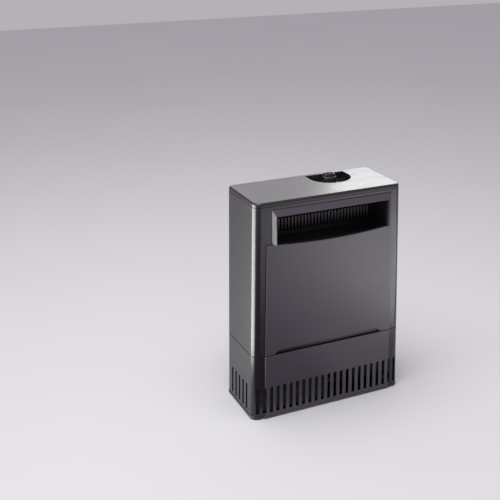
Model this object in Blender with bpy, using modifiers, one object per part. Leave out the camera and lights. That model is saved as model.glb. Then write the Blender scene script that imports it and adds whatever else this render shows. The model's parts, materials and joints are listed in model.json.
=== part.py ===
"""Internal power filter for an aquarium: a slotted base with the pump, a lift-off case with a waterfall
outlet, a lid with a flow knob, and two stages of filter media. Metres, +Z up, origin at the middle of the
base's underside, front towards -Y."""

import math

import bmesh
import bpy
from mathutils import Matrix, Vector

# ---- Driving dimensions, in metres ----
GAP = 0.0003                # clearance between touching pieces
WALL = 0.0022               # shell wall
HALF_WIDTH = 0.082          # at the underside
DRAFT = 0.0055              # narrowing of each side from the underside to BODY_TOP
BODY_TOP = 0.220
FRONT_Y = -0.033
BACK_Y = 0.034
FRONT_CORNER = 0.007
BACK_CORNER = 0.006
CORNER_STEPS = 6

# Heights of the stack, from the underside up
COVER_TOP = 0.0025
COVER_INSET = -0.0004       # the cover stands a little proud of the wall
SEAM_Z = 0.067              # joint between base and case
DECK_Z = 0.060
CASE_TOP = 0.2157
LID_Z = 0.216

# Raised front plateau
PANEL_HALF = 0.0702         # at the underside; it narrows with the draft
PANEL_Y = -0.0343
PANEL_TOP = 0.190           # before the lip is cut
LIP_MID_Z = 0.1761          # lowest point of the spill lip
LIP_RADIUS = 0.600          # radius of the lip's arc
LIP_STEPS = 360

# Intake slots
SLOT_PITCH = 0.007
SLOT_WIDTH = 0.0035
SLOT_LOW = 0.0054
SLOT_HIGH = 0.0332
SLOTS_PER_HALF = 11          # each way from the middle one
SIDE_SLOT_FIRST_Y = -0.0165
SIDE_SLOT_PITCH = 0.009
SIDE_SLOTS = 5
SLOT_CUT = 0.009            # depth of a slot's cutter, centred on the outline

# Finger scoop over the seam
SCOOP_TOP = 0.0723
SCOOP_LOW_X = (-0.0595, 0.0595)
SCOOP_TOP_X = (-0.055, 0.053)
SCOOP_DEPTH_Y = -0.0318

# Waterfall window and its hood
WINDOW_X = (-0.0575, 0.063)
WINDOW_TOP = 0.2094
HOOD_BACK_X = (-0.060, 0.0655)
HOOD_BACK_TOP = 0.213
HOOD_FRONT_X = (-0.0572, 0.0617)
HOOD_FRONT_TOP = 0.2072
HOOD_OPENING_X = (-0.0566, 0.0611)
HOOD_OPENING_TOP = 0.2066
HOOD_FRONT_Y = -0.0373
HOOD_LOW = 0.172

# Spill tray and overflow comb
TRAY_X = (-0.059, 0.0645)
TRAY_Z = (0.170, 0.212)
TRAY_Y = (-0.0305, 0.006)
TRAY_WALL = 0.002
COMB_Y = (0.002, 0.005)
COMB_SILL_Z = 0.177
COMB_TOP = 0.190
TOOTH_PITCH = 0.0036
TOOTH_WIDTH = 0.0018
TOOTH_COUNT = 33

# Lid
LID_ROUND = 0.0022
LID_SKIRT_Z = 0.2132
FIT_INSET = 0.0026          # inset of a skirt that fits inside the wall
POCKET_CENTRE = (0.0245, 0.017)
POCKET_RADIUS = 0.021
POCKET_FLOOR = 0.213
POCKET_WALL = 0.002
POCKET_BACK = 0.0285

# Flow knob, rod and valve share one upright axis
FLOW_AXIS = (0.024, 0.0155)
KNOB_SKIRT_R = 0.0095
DRUM_R = 0.0066
DRUM_TOP = 0.2213
KNOB_TOP = 0.2240
KNOB_TWIST = math.radians(-4)
GRIP_HALF = (0.0050, 0.0034)
GRIP_DRAFT = 0.0004
STEM_R = 0.0036
STEM_LOW = 0.2045
ROD_R = 0.0022
ROD_TOP = 0.211
ROD_SHOULDER = 0.0842
ROD_TIP = 0.0800
KEY_HALF = 0.0016
VALVE_R = 0.0093
VALVE_BORE = 0.0075
VALVE_Z = (0.0631, 0.084)
BARREL_R = 0.0072
BARREL_BORE = 0.0056
BARREL_Z = (0.0649, 0.083)
PORT_Z = (0.068, 0.078)
PORT_HALF = 0.0046

# Pump: the motor's axis lies along X
PUMP_AXIS = (0.004, 0.028)  # y and z of the shaft
MOTOR_LOW = (0.036, -0.018, 0.0065)
MOTOR_HIGH = (0.074, 0.026, 0.0572)
MOTOR_WALL = 0.0022
VOLUTE_X = (0.0163, 0.037)
VOLUTE_R = 0.020
CHAMBER_R = 0.0175
CHAMBER_END = 0.0365
PARTITION_END = 0.039
WELL_R = 0.0088
WELL_BORE = 0.0073
WELL_END = 0.0715
WELL_BORE_END = 0.0695
OUTLET_R = 0.0075
OUTLET_BORE = 0.0055
OUTLET_TOP = 0.062
EAR_ORBIT = 0.0225
EAR_R = 0.0032
EAR_ANGLES = (135, 225, 315)
SHAFT_R = 0.0014
SHAFT_X = (0.0113, 0.0687)
BORE_R = SHAFT_R + GAP
COVER_X = (0.0122, 0.0147)

# Filter media
BASKET_LOW = (-0.075, -0.028, 0.088)
BASKET_HIGH = (0.075, 0.0285, 0.160)
BASKET_WALL = 0.0018
BASKET_LEDGE = 0.0020
LEDGE_THICK = 0.0015
GRID_THICK = 0.0015
SLEEVE_R = 0.0055
SLEEVE_BORE = 0.0039

# Suction cups
CUP_X = 0.056
CUP_HEIGHTS = (0.105, 0.185)
CUP_RIM_Y = 0.043
CUP_RIM_R = 0.0150

# Cable outlet in the rear wall
OUTLET_X = (-0.050, -0.040)
GROMMET_Z = (0.2043, 0.2192)
CABLE_HOLE_Z = 0.2105
CABLE_HOLE_R = 0.0036

PARTS_NAME = "internal_power_filter"
CUTTERS_NAME = "cutters"


COLLECTIONS = {}
MATERIALS = {}


# ---- Scene and material helpers ----
def clear_scene():
    for item in list(bpy.data.objects):
        bpy.data.objects.remove(item, do_unlink=True)
    for name in (PARTS_NAME, CUTTERS_NAME):
        collection = bpy.data.collections.new(name)
        bpy.context.scene.collection.children.link(collection)
        COLLECTIONS[name] = collection


def material(name, colour, roughness, metallic=0.0):
    made = bpy.data.materials.new(name)
    made.use_nodes = True
    shader = made.node_tree.nodes["Principled BSDF"]
    shader.inputs["Base Color"].default_value = (*colour, 1.0)
    shader.inputs["Roughness"].default_value = roughness
    shader.inputs["Metallic"].default_value = metallic
    MATERIALS[name] = made


def make_materials():
    material("shell_plastic", (0.045, 0.042, 0.050), 0.32)
    material("knob_plastic", (0.055, 0.050, 0.055), 0.38)
    material("inner_plastic", (0.022, 0.022, 0.024), 0.50)
    material("pump_plastic", (0.018, 0.018, 0.020), 0.35)
    material("coarse_foam", (0.016, 0.017, 0.020), 0.95)
    material("fine_foam", (0.70, 0.72, 0.70), 0.95)
    material("carbon_pad", (0.020, 0.020, 0.020), 0.95)
    material("black_rubber", (0.015, 0.015, 0.015), 0.70)
    material("cup_rubber", (0.20, 0.22, 0.22), 0.35)
    material("steel", (0.60, 0.60, 0.61), 0.30, 1.0)
    material("lamination_steel", (0.30, 0.30, 0.32), 0.45, 1.0)
    material("copper_winding", (0.72, 0.35, 0.18), 0.35, 1.0)
    material("ferrite", (0.060, 0.058, 0.060), 0.55)
    material("ceramic", (0.85, 0.84, 0.80), 0.20)


# ---- Shape helpers ----
def add_object(name, mesh, slot):
    """Link a mesh as a part, or as a cutter when slot is None."""
    made = bpy.data.objects.new(name, mesh)
    if slot is None:
        COLLECTIONS[CUTTERS_NAME].objects.link(made)
        made.hide_render = True
        made.display_type = "WIRE"
    else:
        COLLECTIONS[PARTS_NAME].objects.link(made)
        mesh.materials.append(MATERIALS[slot])
    return made


def object_from(name, form, slot, location=(0, 0, 0)):
    mesh = bpy.data.meshes.new(name)
    form.to_mesh(mesh)
    form.free()
    mesh.shade_smooth()
    mesh.set_sharp_from_angle(angle=math.radians(32))
    made = add_object(name, mesh, slot)
    made.location = location
    return made


def edges_along(form, axis, choose=None):
    found = []
    for edge in form.edges:
        run = (edge.verts[1].co - edge.verts[0].co).normalized()
        middle = (edge.verts[1].co + edge.verts[0].co) / 2
        if abs(run[axis]) > 0.99 and (choose is None or choose(middle)):
            found.append(edge)
    return found


def round_edges(form, edges, radius, steps):
    if radius > 0:
        bmesh.ops.bevel(form, geom=edges, offset=radius, segments=steps, profile=0.5, affect="EDGES")


def cube_form(size):
    form = bmesh.new()
    bmesh.ops.create_cube(form, size=1.0)
    bmesh.ops.scale(form, vec=size, verts=form.verts)
    return form


def block(name, low, high, slot=None, axis=2, radius=0.0, steps=3):
    """A box between two corners, its edges along one axis rounded."""
    low, high = Vector(low), Vector(high)
    form = cube_form(high - low)
    round_edges(form, edges_along(form, axis), radius, steps)
    return object_from(name, form, slot, (low + high) / 2)


def wedge(name, axis, ends, first, second, slot=None):
    """A six-sided block whose two end rectangles differ. Each rectangle is (low, high) pairs on the other
    two axes, in X, Y, Z order."""
    across = [other for other in range(3) if other != axis]
    form = cube_form((2, 2, 2))
    for vert in form.verts:
        far = vert.co[axis] > 0
        rectangle = second if far else first
        for place, other in enumerate(across):
            vert.co[other] = rectangle[place][1 if vert.co[other] > 0 else 0]
        vert.co[axis] = ends[1 if far else 0]
    return object_from(name, form, slot)


TURNS = {"X": (0, math.pi / 2, 0), "Y": (-math.pi / 2, 0, 0), "Z": (0, 0, 0)}


def rod(name, radius, ends, centre, axis="Z", slot=None, steps=24):
    """A cylinder between two places on its axis; centre holds the other two coordinates in X, Y, Z order."""
    form = bmesh.new()
    bmesh.ops.create_cone(form, cap_ends=True, segments=steps, radius1=radius, radius2=radius,
                          depth=ends[1] - ends[0])
    made = object_from(name, form, slot, on_axis(axis, sum(ends) / 2, centre))
    made.rotation_euler = TURNS[axis]
    return made


def on_axis(axis, along, centre):
    place = list(centre)
    place.insert("XYZ".index(axis), along)
    return Vector(place)


def turned(name, profile, centre, axis="Z", slot=None, steps=28, closed=False):
    """A turned solid. The profile's (radius, height) points run from the top down its outer side."""
    form = bmesh.new()
    verts = [form.verts.new((radius, 0, height)) for radius, height in profile]
    for first, second in zip(verts, verts[1:]):
        form.edges.new((first, second))
    if closed:
        form.edges.new((verts[-1], verts[0]))
    made = object_from(name, form, slot, on_axis(axis, 0.0, centre))
    made.rotation_euler = TURNS[axis]
    screw = made.modifiers.new("turn", "SCREW")
    screw.steps = steps
    screw.render_steps = steps
    screw.use_merge_vertices = True
    screw.merge_threshold = 0.00002
    screw.use_smooth_shade = False
    return made


def ring(name, outer, inner, ends, centre, axis="Z", slot=None, steps=24):
    profile = [(inner, ends[1]), (outer, ends[1]), (outer, ends[0]), (inner, ends[0])]
    return turned(name, profile, centre, axis, slot, steps, closed=True)


def combine(made, operation, *others):
    for other in others:
        modifier = made.modifiers.new(other.name, "BOOLEAN")
        modifier.operation = operation
        modifier.object = other


def cut(made, *others):
    combine(made, "DIFFERENCE", *others)


def join(made, *others):
    combine(made, "UNION", *others)


def outer_half_width(height):
    return HALF_WIDTH - DRAFT * height / BODY_TOP


def outer_form(low_z, high_z, inset=0.0, top_round=0.0):
    """The filter's rounded plan between two heights, with the mould draft on its sides."""
    form = cube_form((2 * (HALF_WIDTH - inset), BACK_Y - FRONT_Y - 2 * inset, high_z - low_z))
    shift = Vector((0, (BACK_Y + FRONT_Y) / 2, (low_z + high_z) / 2))
    bmesh.ops.translate(form, vec=shift, verts=form.verts)
    middle_y = shift.y
    front = edges_along(form, 2, lambda middle: middle.y < middle_y)
    round_edges(form, front, FRONT_CORNER - inset, CORNER_STEPS)
    back = edges_along(form, 2, lambda middle: middle.y > BACK_Y - inset - GAP / 2)
    round_edges(form, back, BACK_CORNER - inset, CORNER_STEPS // 2)
    if top_round > 0:
        rim = [edge for edge in form.edges if all(vert.co.z > high_z - GAP / 2 for vert in edge.verts)]
        round_edges(form, rim, top_round, 3)
    for vert in form.verts:
        vert.co.x *= outer_half_width(vert.co.z) / HALF_WIDTH
    return form


def outer_solid(name, low_z, high_z, inset=0.0, slot=None, top_round=0.0):
    return object_from(name, outer_form(low_z, high_z, inset, top_round), slot)


def outer_sleeve(name, low_z, high_z, thickness, inset=0.0, slot=None):
    """A wall that follows the plan, open above and below: an open surface thickened inwards."""
    form = outer_form(low_z, high_z, inset)
    caps = [face for face in form.faces if abs(face.normal.z) > 0.99]
    bmesh.ops.delete(form, geom=caps, context="FACES_ONLY")
    made = object_from(name, form, slot)
    solidify = made.modifiers.new("wall", "SOLIDIFY")
    solidify.thickness = thickness
    solidify.offset = -1
    solidify.use_even_offset = True
    return made


# ---- Base ----
def plan_point(distance):
    """Place and outward direction at a distance along the plan's outline, from the middle of the front to the
    end of a front corner's arc."""
    side = 1 if distance > 0 else -1
    straight = HALF_WIDTH - FRONT_CORNER
    angle = max(0.0, (abs(distance) - straight) / FRONT_CORNER)
    place = Vector((min(abs(distance), straight), FRONT_Y + FRONT_CORNER))
    place += FRONT_CORNER * Vector((math.sin(angle), -math.cos(angle)))
    return Vector((side * place.x, place.y)), side * angle


def intake_slots():
    """Slots across the front and round the corners, then a wider-spaced row along each side."""
    form = bmesh.new()
    size = Matrix.Diagonal((SLOT_WIDTH, SLOT_CUT, SLOT_HIGH - SLOT_LOW, 1))
    middle_z = (SLOT_LOW + SLOT_HIGH) / 2
    for index in range(-SLOTS_PER_HALF, SLOTS_PER_HALF + 1):
        place, angle = plan_point(SLOT_PITCH * index)
        spot = Matrix.Translation((place.x, place.y, middle_z))
        bmesh.ops.create_cube(form, size=1.0, matrix=spot @ Matrix.Rotation(angle, 4, "Z") @ size)
    turn = Matrix.Rotation(math.pi / 2, 4, "Z")
    for index in range(SIDE_SLOTS):
        y = SIDE_SLOT_FIRST_Y + SIDE_SLOT_PITCH * index
        for side in (-1, 1):
            spot = Matrix.Translation((side * HALF_WIDTH, y, middle_z))
            bmesh.ops.create_cube(form, size=1.0, matrix=spot @ turn @ size)
    return object_from("intake_slots", form, None)


def plateau(name, low_z, high_z, back_y, slot=None, proud=0.0):
    """The raised front: a slab whose sides follow the draft."""
    halves = [PANEL_HALF - HALF_WIDTH + outer_half_width(height) for height in (low_z, high_z)]
    depth = (PANEL_Y - proud, back_y)
    low_end, high_end = [((-half, half), depth) for half in halves]
    return wedge(name, 2, (low_z, high_z), low_end, high_end, slot)


def base_strainer():
    low, high = COVER_TOP + GAP, SEAM_Z - GAP
    made = outer_sleeve("base_strainer", low, high, WALL, slot="shell_plastic")
    join(made, plateau("base_plateau", low, high, FRONT_Y + WALL / 2))
    ledge_z = (DECK_Z - 0.0028, DECK_Z - GAP)
    for side in (-1, 1):
        ends = sorted((side * 0.0745, side * (HALF_WIDTH - WALL)))
        join(made, block(f"deck_ledge_{side}", (ends[0], -0.010, ledge_z[0]), (ends[1], 0.014, ledge_z[1])))
    cut(made, intake_slots())


def bottom_cover():
    made = outer_solid("bottom_cover", 0.0, COVER_TOP, COVER_INSET, "shell_plastic")
    join(made, plateau("cover_plateau", 0.0, COVER_TOP, 0.0, proud=-COVER_INSET))


def chamber_floor():
    made = outer_solid("chamber_floor", DECK_Z, SEAM_Z + 0.007, FIT_INSET, "inner_plastic")
    cut(made, outer_solid("deck_hollow", DECK_Z + 0.0025, SEAM_Z + 0.020, FIT_INSET + 0.0016))
    cut(made, rod("riser_hole", OUTLET_R + 0.002, (DECK_Z - 0.01, DECK_Z + 0.01), FLOW_AXIS))


def coarse_foam():
    block("coarse_foam", (-0.0765, -0.0285, 0.0032), (0.004, 0.029, 0.055), "coarse_foam", radius=0.005)


# ---- Pump ----
def ear_centre(angle):
    turn = math.radians(angle)
    return (PUMP_AXIS[0] + EAR_ORBIT * math.cos(turn), PUMP_AXIS[1] + EAR_ORBIT * math.sin(turn))


def pump_body():
    made = block("pump_body", MOTOR_LOW, MOTOR_HIGH, "pump_plastic", axis=0, radius=0.004)
    join(made, rod("volute", VOLUTE_R, VOLUTE_X, PUMP_AXIS, "X", steps=32))
    join(made, rod("outlet_pipe", OUTLET_R, (PUMP_AXIS[1], OUTLET_TOP), FLOW_AXIS))
    for angle in EAR_ANGLES:
        join(made, rod(f"body_ear_{angle}", EAR_R, (VOLUTE_X[0], 0.030), ear_centre(angle), "X", steps=12))
    inside_low = (PARTITION_END, MOTOR_LOW[1] + MOTOR_WALL, MOTOR_LOW[2] + MOTOR_WALL)
    inside_high = (MOTOR_HIGH[0] + 0.002, MOTOR_HIGH[1] - MOTOR_WALL, MOTOR_HIGH[2] - MOTOR_WALL)
    cut(made, block("motor_hollow", inside_low, inside_high, axis=0, radius=0.002))
    join(made, rod("rotor_well", WELL_R, (PARTITION_END - 0.001, WELL_END), PUMP_AXIS, "X"))
    cut(made, rod("well_bore", WELL_BORE, (0.015, WELL_BORE_END), PUMP_AXIS, "X"))
    cut(made, rod("volute_chamber", CHAMBER_R, (0.015, CHAMBER_END), PUMP_AXIS, "X", steps=32))
    cut(made, rod("outlet_bore", OUTLET_BORE, (PUMP_AXIS[1], OUTLET_TOP + 0.001), FLOW_AXIS))
    for angle in EAR_ANGLES:
        cut(made, rod(f"pilot_{angle}", 0.0016, (0.015, 0.026), ear_centre(angle), "X", steps=12))
    cut(made, rod("gland_hole", 0.0027, (0.020, 0.030), (0.066, 0.048), "Y", steps=16))


def pump_end_cap():
    low, high = MOTOR_LOW, MOTOR_HIGH
    face = high[0] + GAP
    made = block("pump_end_cap", (face, low[1], low[2]), (face + 0.002, high[1], high[2]), "pump_plastic",
                 axis=0, radius=0.004)
    rim = MOTOR_WALL + GAP
    deep = rim + 0.0015
    join(made, block("cap_spigot", (face - 0.0024, low[1] + rim, low[2] + rim),
                     (face + 0.0005, high[1] - rim, high[2] - rim), axis=0, radius=0.002))
    cut(made, block("cap_hollow", (face - 0.004, low[1] + deep, low[2] + deep),
                    (face, high[1] - deep, high[2] - deep), axis=0, radius=0.001))


def stator_core():
    middle_y, middle_z = PUMP_AXIS
    leg, reach = 0.0075, 0.018
    made = block("stator_core", (0.044, middle_y - reach, 0.014), (0.064, middle_y + reach, 0.050),
                 "lamination_steel", axis=0, radius=0.0015)
    cut(made, block("leg_gap", (0.040, middle_y - leg, 0.010), (0.068, middle_y + leg, 0.044)))
    cut(made, rod("pole_bore", WELL_R + 0.0004, (0.040, 0.068), PUMP_AXIS, "X"))


def stator_coil():
    middle_y = PUMP_AXIS[0]
    half = 0.0072
    made = block("stator_coil", (0.040, middle_y - half, 0.040), (0.068, middle_y + half, 0.054),
                 "copper_winding", axis=1, radius=0.003)
    cut(made, block("coil_window", (0.0437, middle_y - 0.01, 0.0437), (0.0643, middle_y + 0.01, 0.0503)))


def pump_cable_gland():
    profile = [(0.0013, 0.0310), (0.0028, 0.0310), (0.0030, 0.0283), (0.0045, 0.0283), (0.0045, 0.0263),
               (0.0024, 0.0263), (0.0024, 0.0225), (0.0013, 0.0225)]
    turned("pump_cable_gland", profile, (0.066, 0.048), "Y", "black_rubber", 16, closed=True)


def pump_cover():
    made = rod("pump_cover", VOLUTE_R, COVER_X, PUMP_AXIS, "X", "pump_plastic", 32)
    for angle in EAR_ANGLES:
        join(made, rod(f"cover_ear_{angle}", EAR_R, COVER_X, ear_centre(angle), "X", steps=12))
    join(made, rod("cover_boss", 0.0045, (0.0085, COVER_X[1]), PUMP_AXIS, "X", steps=16))
    cut(made, rod("bush_seat", 0.0029, (0.0105, COVER_X[1] + 0.001), PUMP_AXIS, "X", steps=16))
    for angle in EAR_ANGLES:
        cut(made, rod(f"screw_hole_{angle}", 0.0016, (0.010, 0.016), ear_centre(angle), "X", steps=12))
    intake_count, intake_orbit = 8, 0.0110
    for index in range(intake_count):
        turn = 2 * math.pi * index / intake_count
        centre = (PUMP_AXIS[0] + intake_orbit * math.cos(turn), PUMP_AXIS[1] + intake_orbit * math.sin(turn))
        cut(made, rod(f"intake_{index}", 0.0030, (0.010, 0.016), centre, "X", steps=12))


def cover_screws():
    profile = [(0, 0.0102), (0.0019, 0.0102), (0.0024, 0.0106), (0.0024, 0.0119), (0.0012, 0.0119),
               (0.0012, 0.0235), (0, 0.0240)]
    for number, angle in enumerate(EAR_ANGLES, start=1):
        outward = [(radius, -along) for radius, along in profile]
        screw = turned(f"cover_screw_{number}", outward, ear_centre(angle), "X", "steel", 12)
        screw.rotation_euler = (0, -math.pi / 2, 0)


def shaft_and_bushes():
    ring("cover_gasket", 0.0198, 0.0178, (COVER_X[1] + GAP, VOLUTE_X[0] - GAP), PUMP_AXIS, "X",
         "black_rubber", 32)
    rod("ceramic_shaft", SHAFT_R, SHAFT_X, PUMP_AXIS, "X", "ceramic", 16)
    ring("front_shaft_bush", 0.0026, BORE_R, (0.0110, 0.0144), PUMP_AXIS, "X", "black_rubber", 16)
    ring("rear_shaft_bush", 0.0070, BORE_R, (0.0655, 0.0692), PUMP_AXIS, "X", "black_rubber", 16)


def pump_feet():
    low, high = COVER_TOP + GAP, MOTOR_LOW[2] - GAP
    places = [(x, y) for x in (0.041, 0.069) for y in (-0.012, 0.020)]
    for number, centre in enumerate(places, start=1):
        profile = [(0, high), (0.0036, high), (0.0042, low), (0, low)]
        turned(f"pump_foot_{number}", profile, centre, "Z", "black_rubber", 16)


def rotor():
    """The rotor's parts hang from an empty on the motor's axis."""
    pivot = empty("rotor_pivot", (0.050, *PUMP_AXIS))
    magnet = rod("rotor_magnet", 0.0066, (0.0430, 0.0652), PUMP_AXIS, "X", "ferrite")
    cut(magnet, rod("magnet_bore", BORE_R, (0.040, 0.070), PUMP_AXIS, "X", steps=16))
    wheel = rod("impeller", 0.0045, (0.0175, 0.0427), PUMP_AXIS, "X", "pump_plastic", 20)
    blades, reach = 6, 0.0155
    form = bmesh.new()
    for index in range(blades):
        turn = Matrix.Rotation(2 * math.pi * index / blades, 4, "X")
        spot = Matrix.Translation((0.026, 0, (reach + 0.003) / 2))
        size = Matrix.Diagonal((0.014, 0.0016, reach - 0.003, 1))
        bmesh.ops.create_cube(form, size=1.0, matrix=turn @ spot @ size)
    join(wheel, object_from("impeller_blades", form, None, (0, *PUMP_AXIS)))
    cut(wheel, rod("impeller_bore", BORE_R, (0.010, 0.050), PUMP_AXIS, "X", steps=16))
    hang(pivot, magnet, wheel)


# ---- Valve, rod and knob ----
def empty(name, location):
    made = bpy.data.objects.new(name, None)
    made.location = location
    made.empty_display_size = 0.01
    COLLECTIONS[PARTS_NAME].objects.link(made)
    return made


def hang(pivot, *pieces):
    """Parent pieces to an empty and leave them where they are."""
    for piece in pieces:
        piece.parent = pivot
        piece.matrix_parent_inverse = Matrix.Translation(-pivot.location)


def riser_seal():
    ring("riser_seal", OUTLET_R + 0.0017, OUTLET_R + GAP, (DECK_Z - 0.0005, DECK_Z + 0.0028), FLOW_AXIS,
         "Z", "black_rubber", 24)


def valve_body():
    low, high = VALVE_Z
    profile = [(VALVE_BORE, high), (VALVE_R, high), (VALVE_R, low + 0.0016), (0.013, low + 0.0016),
               (0.013, low), (VALVE_BORE, low)]
    made = turned("valve_body", profile, FLOW_AXIS, "Z", "inner_plastic", 28, closed=True)
    x, y = FLOW_AXIS
    cut(made, block("body_port", (x - PORT_HALF, y - 0.012, PORT_Z[0]), (x + PORT_HALF, y, PORT_Z[1])))


def valve_barrel():
    pivot = empty("valve_pivot", (*FLOW_AXIS, BARREL_Z[0]))
    low, high = BARREL_Z
    roof = high - 0.0025
    profile = [(0, high), (BARREL_R, high), (BARREL_R, low), (BARREL_BORE, low), (BARREL_BORE, roof),
               (0, roof)]
    made = turned("valve_barrel", profile, FLOW_AXIS, "Z", "knob_plastic", 28)
    x, y = FLOW_AXIS
    port = block("barrel_port", (-PORT_HALF, -0.012, PORT_Z[0]), (PORT_HALF, 0, PORT_Z[1]))
    port.location = (x, y, (PORT_Z[0] + PORT_Z[1]) / 2)
    port.data.transform(Matrix.Translation((0, -0.006, 0)))
    port.rotation_euler = (0, 0, math.radians(-45))
    cut(made, port)
    key = KEY_HALF + GAP
    cut(made, block("key_hole", (x - key, y - key, roof - 0.001), (x + key, y + key, high + 0.001)))
    hang(pivot, made)


def valve_rod_and_knob():
    pivot = empty("knob_pivot", (*FLOW_AXIS, POCKET_FLOOR))
    x, y = FLOW_AXIS
    spindle = rod("valve_rod", ROD_R, (ROD_SHOULDER, ROD_TOP), FLOW_AXIS, "Z", "inner_plastic", 16)
    join(spindle, block("rod_key", (x - KEY_HALF, y - KEY_HALF, ROD_TIP),
                        (x + KEY_HALF, y + KEY_HALF, ROD_SHOULDER + 0.002)))
    foot = POCKET_FLOOR + 0.0004
    bevel, skirt = 0.0008, 0.0009
    profile = [(0, DRUM_TOP), (DRUM_R - bevel, DRUM_TOP), (DRUM_R, DRUM_TOP - bevel),
               (DRUM_R, foot + 2 * skirt), (KNOB_SKIRT_R, foot + skirt), (KNOB_SKIRT_R, foot),
               (STEM_R, foot), (STEM_R, STEM_LOW), (0, STEM_LOW)]
    knob = turned("flow_knob", profile, FLOW_AXIS, "Z", "knob_plastic", 32)
    grip = wedge("knob_grip", 2, (DRUM_TOP - 0.001, KNOB_TOP),
                 ((-GRIP_HALF[0], GRIP_HALF[0]), (-GRIP_HALF[1], GRIP_HALF[1])),
                 ((-GRIP_HALF[0] + GRIP_DRAFT, GRIP_HALF[0] - GRIP_DRAFT),
                  (-GRIP_HALF[1] + GRIP_DRAFT, GRIP_HALF[1] - GRIP_DRAFT)))
    grip.location = (x, y, 0)
    grip.rotation_euler = (0, 0, KNOB_TWIST)
    join(knob, grip)
    cut(knob, rod("rod_socket", ROD_R + GAP, (STEM_LOW - 0.001, ROD_TOP + GAP), FLOW_AXIS, "Z", steps=16))
    hang(pivot, spindle, knob)


# ---- Media ----
def media_basket():
    """Walls on four legs, with a ledge inside that the grid lies on."""
    low, high = Vector(BASKET_LOW), Vector(BASKET_HIGH)
    made = block("media_basket", low, high, "inner_plastic", radius=0.005)
    wall = Vector((BASKET_WALL, BASKET_WALL, 0))
    ledge = Vector((BASKET_LEDGE, BASKET_LEDGE, 0))
    over = Vector((0, 0, 0.005))
    floor = Vector((0, 0, LEDGE_THICK))
    cut(made, block("basket_hollow", low + wall + floor, high - wall + over, radius=0.0035))
    cut(made, block("ledge_hollow", low + wall + ledge - over, high - wall - ledge))
    legs = bmesh.new()
    foot = DECK_Z + 0.0025 + GAP
    for x in (low.x + 0.004, high.x - 0.004):
        for y in (low.y + 0.004, high.y - 0.004):
            spot = Matrix.Translation((x, y, (foot + low.z + 0.001) / 2))
            size = Matrix.Diagonal((0.006, 0.006, low.z + 0.001 - foot, 1))
            bmesh.ops.create_cube(legs, size=1.0, matrix=spot @ size)
    join(made, object_from("basket_legs", legs, None))


def basket_grid():
    """The slotted floor of the basket, with the sleeve that the valve's rod passes through."""
    inset = BASKET_WALL + GAP
    low = Vector(BASKET_LOW) + Vector((inset, inset, LEDGE_THICK + GAP))
    high = Vector((BASKET_HIGH[0] - inset, BASKET_HIGH[1] - inset, low.z + GRID_THICK))
    made = block("basket_grid", low, high, "inner_plastic", radius=0.003)
    join(made, rod("rod_sleeve", SLEEVE_R, (low.z + GRID_THICK / 2, BASKET_HIGH[2]), FLOW_AXIS, steps=20))
    cut(made, basket_slots(low))
    cut(made, rod("sleeve_bore", SLEEVE_BORE, (low.z - 0.001, BASKET_HIGH[2] + 0.001), FLOW_AXIS, steps=20))


def basket_slots(low):
    """Two rows of slots in the floor, none of them under the sleeve."""
    form = bmesh.new()
    pitch, width, length = 0.010, 0.005, 0.021
    for index in range(-7, 8):
        for y in (-0.0125, 0.0135):
            x = index * pitch - 0.001
            if y > 0 and abs(x - FLOW_AXIS[0]) < SLEEVE_R + width:
                continue
            spot = Matrix.Translation((x, y, low.z + 0.001))
            bmesh.ops.create_cube(form, size=1.0, matrix=spot @ Matrix.Diagonal((width, length, 0.004, 1)))
    return object_from("basket_slots", form, None)


def media_pads():
    inset = BASKET_WALL + 0.0007
    for name, low_z, high_z in (("fine_foam", 0.0919, 0.1250), ("carbon_pad", 0.1262, 0.1420)):
        low = (BASKET_LOW[0] + inset, BASKET_LOW[1] + inset, low_z)
        high = (BASKET_HIGH[0] - inset, BASKET_HIGH[1] - inset, high_z)
        made = block(name, low, high, name, radius=0.003)
        cut(made, rod(f"{name}_hole", SLEEVE_R + 0.0008, (low_z - 0.001, high_z + 0.001), FLOW_AXIS,
                      steps=20))


# ---- Case ----
def lip_disc(name, shrink=0.0):
    """The round whose lowest arc is the spill lip."""
    return rod(name, LIP_RADIUS - shrink, (-0.045, -0.025), (0.0, LIP_MID_Z + LIP_RADIUS), "Y",
               steps=LIP_STEPS)


def scoop():
    return wedge("finger_scoop", 2, (SEAM_Z - 0.001, SCOOP_TOP), (SCOOP_LOW_X, (-0.038, SCOOP_DEPTH_Y)),
                 (SCOOP_TOP_X, (-0.038, PANEL_Y - 0.0001)))


def main_case(finger_scoop):
    made = outer_sleeve("main_case", SEAM_Z + GAP, CASE_TOP, WALL, slot="shell_plastic")
    window = block("window", (WINDOW_X[0], -0.040, HOOD_LOW), (WINDOW_X[1], -0.028, WINDOW_TOP))
    combine(window, "INTERSECT", lip_disc("window_lip"))
    cut(made, window, finger_scoop)
    notch = (OUTLET_X[0] - GAP, BACK_Y - 0.006, GROMMET_Z[0] - GAP)
    cut(made, block("cable_notch", notch, (OUTLET_X[1] + GAP, BACK_Y + 0.002, CASE_TOP + 0.002)))
    for x, z in cup_places():
        cut(made, rod(f"cup_hole_{x}_{z}", 0.0031, (0.025, 0.040), (x, z), "Y", steps=16))


def front_panel(finger_scoop):
    made = plateau("front_panel", SEAM_Z + GAP, PANEL_TOP, FRONT_Y - GAP, "shell_plastic")
    cut(made, lip_disc("panel_lip"), finger_scoop)


def outlet_hood():
    made = wedge("outlet_hood", 1, (HOOD_FRONT_Y, FRONT_Y - GAP), (HOOD_FRONT_X, (HOOD_LOW, HOOD_FRONT_TOP)),
                 (HOOD_BACK_X, (HOOD_LOW, HOOD_BACK_TOP)), "shell_plastic")
    cut(made, block("hood_opening", (HOOD_OPENING_X[0], -0.045, 0.160),
                    (HOOD_OPENING_X[1], -0.028, HOOD_OPENING_TOP)))
    combine(made, "INTERSECT", lip_disc("hood_lip", shrink=GAP))


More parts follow.
